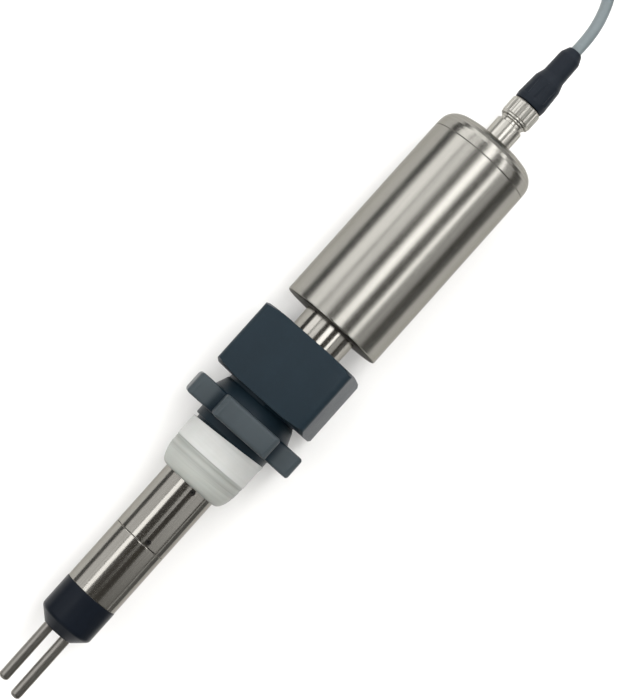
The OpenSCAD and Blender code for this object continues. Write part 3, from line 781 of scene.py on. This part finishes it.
class PROBE_OT_strap(bpy.types.Operator):
    """Ties the coil with a hook-and-loop strap whose end lies over its start"""

    bl_idname = "probe.strap"
    bl_label = "Coil strap"

    def execute(self, context):
        low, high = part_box("coil_tie")
        centre = (low + high) / 2
        thick = STRAP_THICK * MM
        deep, wide = high.z - low.z - 2 * thick, high.y - low.y - 2 * thick
        width = high.x - low.x
        first = rounded_loop(wide + thick, deep + thick, STRAP_BEND * MM)
        lap = rounded_loop(wide + LAP_ROOM * thick, deep + LAP_ROOM * thick, LAP_BEND * MM)
        path = first + lap[:LAP_POINTS]

        def place(row, across):
            at_end = row > len(path) - 3
            x = centre.x + width * (across - 0.5) * (1 - LAP_NARROWER * at_end)
            return Vector((x, centre.y + path[row][0], centre.z + path[row][1]))

        strap = rolled_sheet(len(path) - 1, STRAP_COLUMNS, place)
        add_modifier(strap, "SOLIDIFY", thickness=0.9 * thick, offset=0)
        round_edges(strap, 0.2 * MM, 2, 50)
        edit(strap)
        point_outwards()
        leave_edit()
        settle(strap, "strap", webbing(STRAP_COLOUR), "probe", "coil_tie")
        return {"FINISHED"}


class PROBE_OT_fitting(bpy.types.Operator):
    """Cuts the clamp nut's thread on the fitting and rounds the nut's moulded edges"""

    bl_idname = "probe.fitting"
    bl_label = "Fitting and nut"

    def execute(self, context):
        plastic = context.scene.probe_plastic
        pitch = context.scene.probe_sizes.nut_pitch
        turns = math.ceil((SPIGOT_END - NUT_FRONT) * MM / pitch) + 1
        fitting = copy_of("thread_fitting")
        cut_away(fitting, groove_cutter(
            NUT_THREAD_START * MM, turns, pitch, NUT_THREAD_R * MM, NUT_THREAD_DEPTH * MM,
        ))
        # The lugs take the lighter colour as painted light, and the recess the darker one as painted
        # shade
        finish = moulded(
            "fitting_plastic", plastic.fitting, 0.40, grain=0.00003, sheen=0.12, lit_outer_colour=plastic.lugs,
        )
        settle(fitting, "moulded_fitting", finish, "fitting", "thread_fitting")
        nut = copy_of("clamp_nut")
        round_edges(nut, 0.5 * MM, 3, 30)
        finish = moulded("nut_plastic", plastic.nut, 0.42, grain=0.00003, sheen=0.15)
        settle(nut, "moulded_nut", finish, "nut", "clamp_nut")
        return {"FINISHED"}


class PROBE_OT_plug(bpy.types.Operator):
    """Cuts the outside thread of the far plug's coupling screw"""

    bl_idname = "probe.plug"
    bl_label = "Far plug"

    def execute(self, context):
        ring = copy_of("tail_ring")
        cutter = groove_cutter(
            PLUG_THREAD_START * MM, PLUG_THREAD_TURNS, context.scene.probe_sizes.plug_pitch,
            PLUG_THREAD_R * MM, PLUG_THREAD_DEPTH * MM,
        )
        cutter.location = PLUG_POINT * MM
        cutter.rotation_euler = (0, 0, PLUG_TURN)
        cut_away(ring, cutter)
        finish = drawn_steel("screw_nickel", context.scene.probe_metal.nickel, 0.3)
        settle(ring, "coupling_screw", finish, "tail_ring_body", "tail_ring")
        return {"FINISHED"}


class PROBE_OT_metal(bpy.types.Operator):
    """Gives the tube, housing, electrodes and connector metal their steel finishes"""

    bl_idname = "probe.metal"
    bl_label = "Metal pieces"

    def execute(self, context):
        metal = context.scene.probe_metal
        # The housing's front face gets painted shade
        housing = drawn_steel("housing_steel", metal.housing, 0.24, shaded_face=SHELL_FRONT * MM)
        tube = drawn_steel("tube_steel", metal.tube, 0.16, haze=0.03, lines=0.2, turned=0.0)
        electrode = drawn_steel("electrode_steel", metal.electrode, 0.34, lines=0.15, turned=0.05)
        nickel = drawn_steel("nickel", metal.nickel, 0.30)
        screw = plain("screw_steel", (0.22, 0.21, 0.20), 0.4, metal=1.0)
        blackened = plain("screw_black", (0.05, 0.048, 0.045), 0.5, metal=1.0)
        dress({
            "housing_shell": housing, "end_cap": housing,
            "front_sleeve": tube, "rear_tube": tube, "sleeve_joiner": tube,
            "electrode_a": electrode, "electrode_b": electrode,
            "receptacle_shell": nickel, "coupling_ring": nickel,
            "set_screws": blackened, "thrust_washer": screw, "tube_lock_nut": screw,
            "bracket_screws": screw, "board_screws": screw, "receptacle_nut": screw,
        })
        return {"FINISHED"}


class PROBE_OT_plastic(bpy.types.Operator):
    """Gives the nose collar, plugs, seals and inner pieces their finishes"""

    bl_idname = "probe.plastic"
    bl_label = "Plastic and inner pieces"

    def execute(self, context):
        plastic = context.scene.probe_plastic
        boot = moulded("boot_rubber", plastic.boot, 0.5, grain=0.00003, sheen=0.15)
        insert = moulded("insert_plastic", (0.012, 0.013, 0.015), 0.45)
        seal = plain("seal_rubber", (0.02, 0.02, 0.02), 0.6)
        gold = plain("contact_gold", (0.78, 0.56, 0.22), 0.25, metal=1.0)
        dress({
            "nose_collar": moulded("nose_plastic", plastic.collar, 0.33, grain=0.00001, sheen=0.1),
            "plug_body": boot, "tail_plug_body": boot,
            "receptacle_insert": insert, "plug_insert": insert, "tail_plug_insert": insert,
            "electrode_seals": seal, "collar_seal": seal, "tube_seals": seal, "cap_seal": seal,
            "receptacle_seal": seal, "electrode_studs": gold, "contact_pins": gold, "tail_pins": gold,
            "bulkhead": plain("bulkhead_plastic", (0.03, 0.033, 0.04), 0.5),
            "grip_collet": plain("collet_plastic", (0.66, 0.63, 0.54), 0.45),
            "electrode_leads": plain("wire_red", (0.30, 0.02, 0.015), 0.45),
            "signal_wires": plain("wire_yellow", (0.55, 0.30, 0.03), 0.45),
            "board_bracket": plain("bracket_metal", (0.60, 0.61, 0.63), 0.35, metal=1.0),
            "circuit_board": board_finish(),
            "board_chips": plain("chip_black", (0.015, 0.015, 0.017), 0.5),
            "terminal_block": plain("terminal_green", (0.02, 0.14, 0.05), 0.35),
        })
        return {"FINISHED"}


class PROBE_OT_stage(bpy.types.Operator):
    """Sets up the pale floor, the soft lights and the camera at the photograph's angle"""

    bl_idname = "probe.stage"
    bl_label = "Stage"

    def execute(self, context):
        stage = context.scene.probe_stage
        context.scene.view_settings.view_transform = "Standard"
        self.camera(context, stage)
        self.floor(stage)
        self.backdrop()
        self.sky(context)
        for strip in STRIPS:
            self.strip(*strip)
        self.fill()
        for side in (1, -1):
            self.end_panel(side)
        for card in CARDS:
            self.card(*card)
        return {"FINISHED"}

    def camera(self, context, stage):
        """Looks at the target so that the probe's axis rises across the picture by the roll."""
        back = Vector((-math.tan(stage.lean_back), math.tan(stage.lean_side), 1)).normalized()
        bpy.ops.object.camera_add()
        camera = context.object
        turn = (-back).to_track_quat("-Z", "Y")
        axis = turn.inverted() @ Vector((1, 0, 0))
        off = stage.roll - math.atan2(axis.y, axis.x)
        camera.rotation_mode = "QUATERNION"
        camera.rotation_quaternion = turn @ Matrix.Rotation(-off, 3, "Z").to_quaternion()
        camera.location = Vector(stage.target) + back * stage.distance
        camera.data.sensor_width = 36
        camera.data.lens = camera.data.sensor_width * stage.distance / stage.view_height
        context.scene.camera = camera

    def floor(self, stage):
        """A pale matt floor that glows further out, where the lights don't reach."""
        bpy.ops.object.select_all(action="DESELECT")
        bpy.ops.mesh.primitive_plane_add(size=FLOOR_SIZE, location=(0, 0, BENCH_Z))
        floor = bpy.context.object
        floor.name = "floor"
        colour = stage.floor_colour[:]
        finish = Finish("floor_paint", Emission_Strength=1)
        cloud = finish.noise(3, 3)
        finish.colour(finish.mix(cloud, shade(colour, 0.98), shade(colour, 1.02)))
        finish.roughness(0.75 + cloud * 0.1)
        glow = finish.rise(finish.length(finish.spot()), GLOW_START, GLOW_FULL)
        finish.feed(finish.shader.inputs["Emission Color"], finish.mix(glow, (0, 0, 0), colour))
        floor.data.materials.append(finish.material)

    def backdrop(self):
        """A pale dome round the stage that only the camera sees, never the metal."""
        bpy.ops.object.select_all(action="DESELECT")
        bpy.ops.mesh.primitive_uv_sphere_add(radius=DOME_R, segments=48, ring_count=24)
        dome = bpy.context.object
        dome.name = "backdrop"
        pale = Finish(
            "backdrop", Base_Color=(0, 0, 0, 1), Emission_Color=DOME_COLOUR, Emission_Strength=1,
        )
        dome.data.materials.append(pale.material)
        dome.visible_diffuse = False
        dome.visible_glossy = False
        dome.visible_transmission = False
        dome.visible_shadow = False

    def sky(self, context):
        """A dim warm world, so that nothing that the metal mirrors is quite black."""
        world = bpy.data.worlds.new("studio")
        world.use_nodes = True
        ground = world.node_tree.nodes["Background"]
        ground.inputs["Color"].default_value = (1, 0.94, 0.82, 1)
        ground.inputs["Strength"].default_value = 0.1
        context.scene.world = world

    def panel(self, length, width, level, location, rotation=(0, 0, 0)):
        """An area light whose face is as bright as level, whatever its size."""
        bpy.ops.object.light_add(type="AREA", location=location, rotation=rotation)
        light = bpy.context.object
        light.data.shape = "RECTANGLE"
        light.data.size = length
        light.data.size_y = width
        light.data.energy = level * math.pi * light.data.size * light.data.size_y
        return light

    def strip(self, angle, width, start, end, level):
        """A long soft light parallel to the probe. Its angle is about the axis, from straight up."""
        turn = math.radians(angle)
        self.panel(
            end - start, 2 * STRIP_REACH * math.tan(math.radians(width) / 2), level,
            ((start + end) / 2, STRIP_REACH * math.sin(turn), STRIP_REACH * math.cos(turn)),
            (-turn, 0, 0),
        )

    def fill(self):
        """A broad overhead light for the floor and the plastic, which the metal doesn't mirror."""
        light = self.panel(3, 3, 1.65, (0.05, 0, 2.2))
        light.visible_glossy = False

    def end_panel(self, side):
        """A dim upright panel past one end of the probe, which the round edges there mirror."""
        self.panel(1.7, 2.2, 0.6, (side * 2.1, 0, 0.9), (0, side * math.radians(68), 0))

    def card(self, side, top, grey, start, end):
        """A low dark card that only polished metal mirrors, as a line along its flank."""
        bpy.ops.object.select_all(action="DESELECT")
        bpy.ops.mesh.primitive_plane_add(
            size=1, location=((start + end) / 2, side, (BENCH_Z + top) / 2),
            rotation=(math.pi / 2, 0, 0),
        )
        card = bpy.context.object
        card.name = "card"
        card.scale = (end - start, top - BENCH_Z, 1)
        finish = Finish("card", Base_Color=(grey, grey, grey, 1), Roughness=0.9)
        card.data.materials.append(finish.material)
        card.visible_camera = False
        card.visible_diffuse = False
        card.visible_shadow = False


class PROBE_PT_panel(bpy.types.Panel):
    """Lists the probe's pieces and their settings"""

    bl_idname = "PROBE_PT_panel"
    bl_label = "Corrosion probe"
    bl_space_type = "VIEW_3D"
    bl_region_type = "UI"
    bl_category = "Probe"

    def draw(self, context):
        for title, group in (
            ("Sizes", context.scene.probe_sizes),
            ("Metal", context.scene.probe_metal),
            ("Plastic", context.scene.probe_plastic),
            ("Stage", context.scene.probe_stage),
        ):
            box = self.layout.box()
            box.label(text=title)
            for name in group.__annotations__:
                box.prop(group, name)
        for operator in OPERATORS:
            self.layout.operator(operator.bl_idname)


GROUPS = {
    "probe_stage": StageSettings, "probe_metal": MetalSettings,
    "probe_plastic": PlasticSettings, "probe_sizes": SizeSettings,
}
OPERATORS = (
    PROBE_OT_stage, PROBE_OT_lead, PROBE_OT_strap, PROBE_OT_tape, PROBE_OT_fitting, PROBE_OT_plug,
    PROBE_OT_metal, PROBE_OT_plastic,
)


def register():
    for group in GROUPS.values():
        bpy.utils.register_class(group)
    for operator in OPERATORS:
        bpy.utils.register_class(operator)
    bpy.utils.register_class(PROBE_PT_panel)
    for name, group in GROUPS.items():
        setattr(bpy.types.Scene, name, bpy.props.PointerProperty(type=group))


def unregister():
    for name in GROUPS:
        delattr(bpy.types.Scene, name)
    bpy.utils.unregister_class(PROBE_PT_panel)
    for operator in reversed(OPERATORS):
        bpy.utils.unregister_class(operator)
    for group in reversed(list(GROUPS.values())):
        bpy.utils.unregister_class(group)


def main():
    register()
    bpy.ops.probe.stage()
    bpy.ops.probe.lead()
    bpy.ops.probe.strap()
    bpy.ops.probe.tape()
    bpy.ops.probe.fitting()
    bpy.ops.probe.plug()
    bpy.ops.probe.metal()
    bpy.ops.probe.plastic()


if __name__ == "__main__":
    main()
